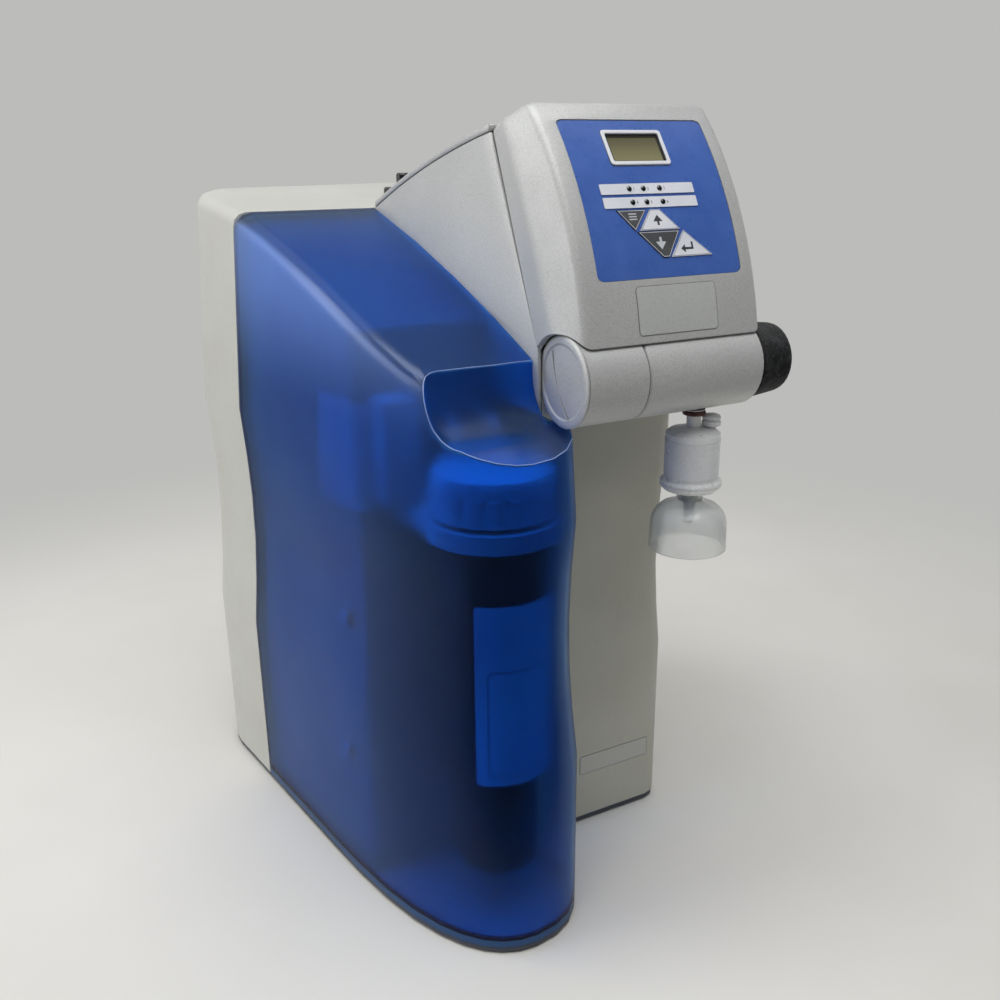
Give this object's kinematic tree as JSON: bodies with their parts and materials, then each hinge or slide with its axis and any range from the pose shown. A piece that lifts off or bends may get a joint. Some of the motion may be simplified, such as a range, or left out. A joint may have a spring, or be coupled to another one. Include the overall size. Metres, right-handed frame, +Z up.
{
  "type": "ultrapure water system",
  "caption": "Bench-top ultrapure water unit: translucent side cover over a cartridge bay, raised display head with keypad, dispensing arm with turning knob and hanging point-of-use filter.",
  "frame": {"origin": "middle of the whole unit's box, at the level of the feet", "axes": "+Z up, +Y to the unit's back, +X to the side with the knob"},
  "size_m": [0.3124, 0.4004, 0.5449],
  "materials": {
    "warm_grey_plastic": "moulded, fine grain",
    "silver_grey_plastic": "moulded, fine grain",
    "translucent_cobalt": "satin, translucent",
    "keypad_blue": "gloss film",
    "white_plastic": "satin",
    "key_grey": "satin",
    "olive_display": "gloss",
    "board_green": "coated circuit board",
    "black_rubber": "matte",
    "red_rubber": "satin",
    "frosted_plastic": "frosted, translucent",
    "dark_plastic": "satin",
    "clear_hose": "clear, flexible",
    "brushed_steel": "brushed"
  },
  "bodies": {
    "cabinet": {"base_plate": "warm_grey_plastic", "rear_housing": "warm_grey_plastic", "front_housing": "warm_grey_plastic", "front_panel": "silver_grey_plastic", "neck_left_plate": "silver_grey_plastic", "neck_right_plate": "silver_grey_plastic", "neck_top_skin": "silver_grey_plastic", "neck_underside": "silver_grey_plastic", "head_shell": "silver_grey_plastic", "keypad_membrane": "keypad_blue", "display_frame": "white_plastic", "display_window": "olive_display", "display_board": "board_green", "indicator_strip_upper": "white_plastic", "indicator_strip_lower": "white_plastic", "arm_left": "silver_grey_plastic", "arm_right": "silver_grey_plastic", "arm_end_cap": "silver_grey_plastic", "outlet_nipple": "silver_grey_plastic", "outlet_o_ring": "red_rubber", "foot_front_left": "black_rubber", "foot_front_right": "black_rubber", "foot_rear_left": "black_rubber", "foot_rear_right": "black_rubber", "top_plug_left": "dark_plastic", "top_plug_right": "dark_plastic", "feed_connector": "dark_plastic", "drain_connector": "dark_plastic", "power_socket": "dark_plastic", "storage_tank": "white_plastic", "osmosis_module": "white_plastic", "booster_pump": "brushed_steel", "ultraviolet_reactor": "brushed_steel", "control_board": "board_green", "connection_manifold": "white_plastic", "cover_catch_upper": "white_plastic", "cover_catch_lower": "white_plastic", "cartridge_bracket": "white_plastic", "cartridge_cap": "white_plastic", "cartridge_hose_in": "clear_hose", "cartridge_hose_out": "clear_hose"},
    "cover": {"side_cover": "translucent_cobalt"},
    "cartridge": {"cartridge_body": "dark_plastic", "cartridge_lower_end": "dark_plastic"},
    "knob": {"dispense_knob": "black_rubber", "valve_spindle": "brushed_steel"},
    "menu_key": {"key_menu": "key_grey"},
    "up_key": {"key_up": "white_plastic"},
    "down_key": {"key_down": "key_grey"},
    "enter_key": {"key_enter": "white_plastic"},
    "filter": {"filter_upper_shell": "frosted_plastic", "filter_lower_shell": "frosted_plastic", "filter_membrane": "white_plastic", "filter_bell": "frosted_plastic"},
    "vent_cap": {"filter_vent_cap": "frosted_plastic"}
  },
  "joints": [
    {"name": "cover_pull", "type": "slide", "parent": "cabinet", "child": "cover", "axis": [0, -1, 0], "range_m": [0, 0.19]},
    {"name": "cartridge_twist", "type": "hinge", "parent": "cabinet", "child": "cartridge", "pos_m": [-0.04475, -0.14775, 0.2], "axis": [0, 0, 1], "range_deg": [0, 90]},
    {"name": "knob_turn", "type": "hinge", "parent": "cabinet", "child": "knob", "pos_m": [0.13925, -0.16935, 0.385], "axis": [1, 0, 0], "range_deg": [0, 90]},
    {"name": "menu_press", "type": "slide", "parent": "cabinet", "child": "menu_key", "axis": [0, 0.9021, -0.4315], "range_m": [0, 0.0004], "stiffness_N_per_m": 2000},
    {"name": "up_press", "type": "slide", "parent": "cabinet", "child": "up_key", "axis": [0, 0.9021, -0.4315], "range_m": [0, 0.0004], "stiffness_N_per_m": 2000},
    {"name": "down_press", "type": "slide", "parent": "cabinet", "child": "down_key", "axis": [0, 0.9264, -0.3765], "range_m": [0, 0.0004], "stiffness_N_per_m": 2000},
    {"name": "enter_press", "type": "slide", "parent": "cabinet", "child": "enter_key", "axis": [0, 0.9264, -0.3765], "range_m": [0, 0.0004], "stiffness_N_per_m": 2000},
    {"name": "filter_pull", "type": "slide", "parent": "cabinet", "child": "filter", "axis": [0, 0, -1], "range_m": [0, 0.012]},
    {"name": "vent_turn", "type": "hinge", "parent": "filter", "child": "vent_cap", "pos_m": [0.10465, -0.17405, 0.347], "axis": [0, 0, 1], "range_deg": [0, 180]}
  ]
}
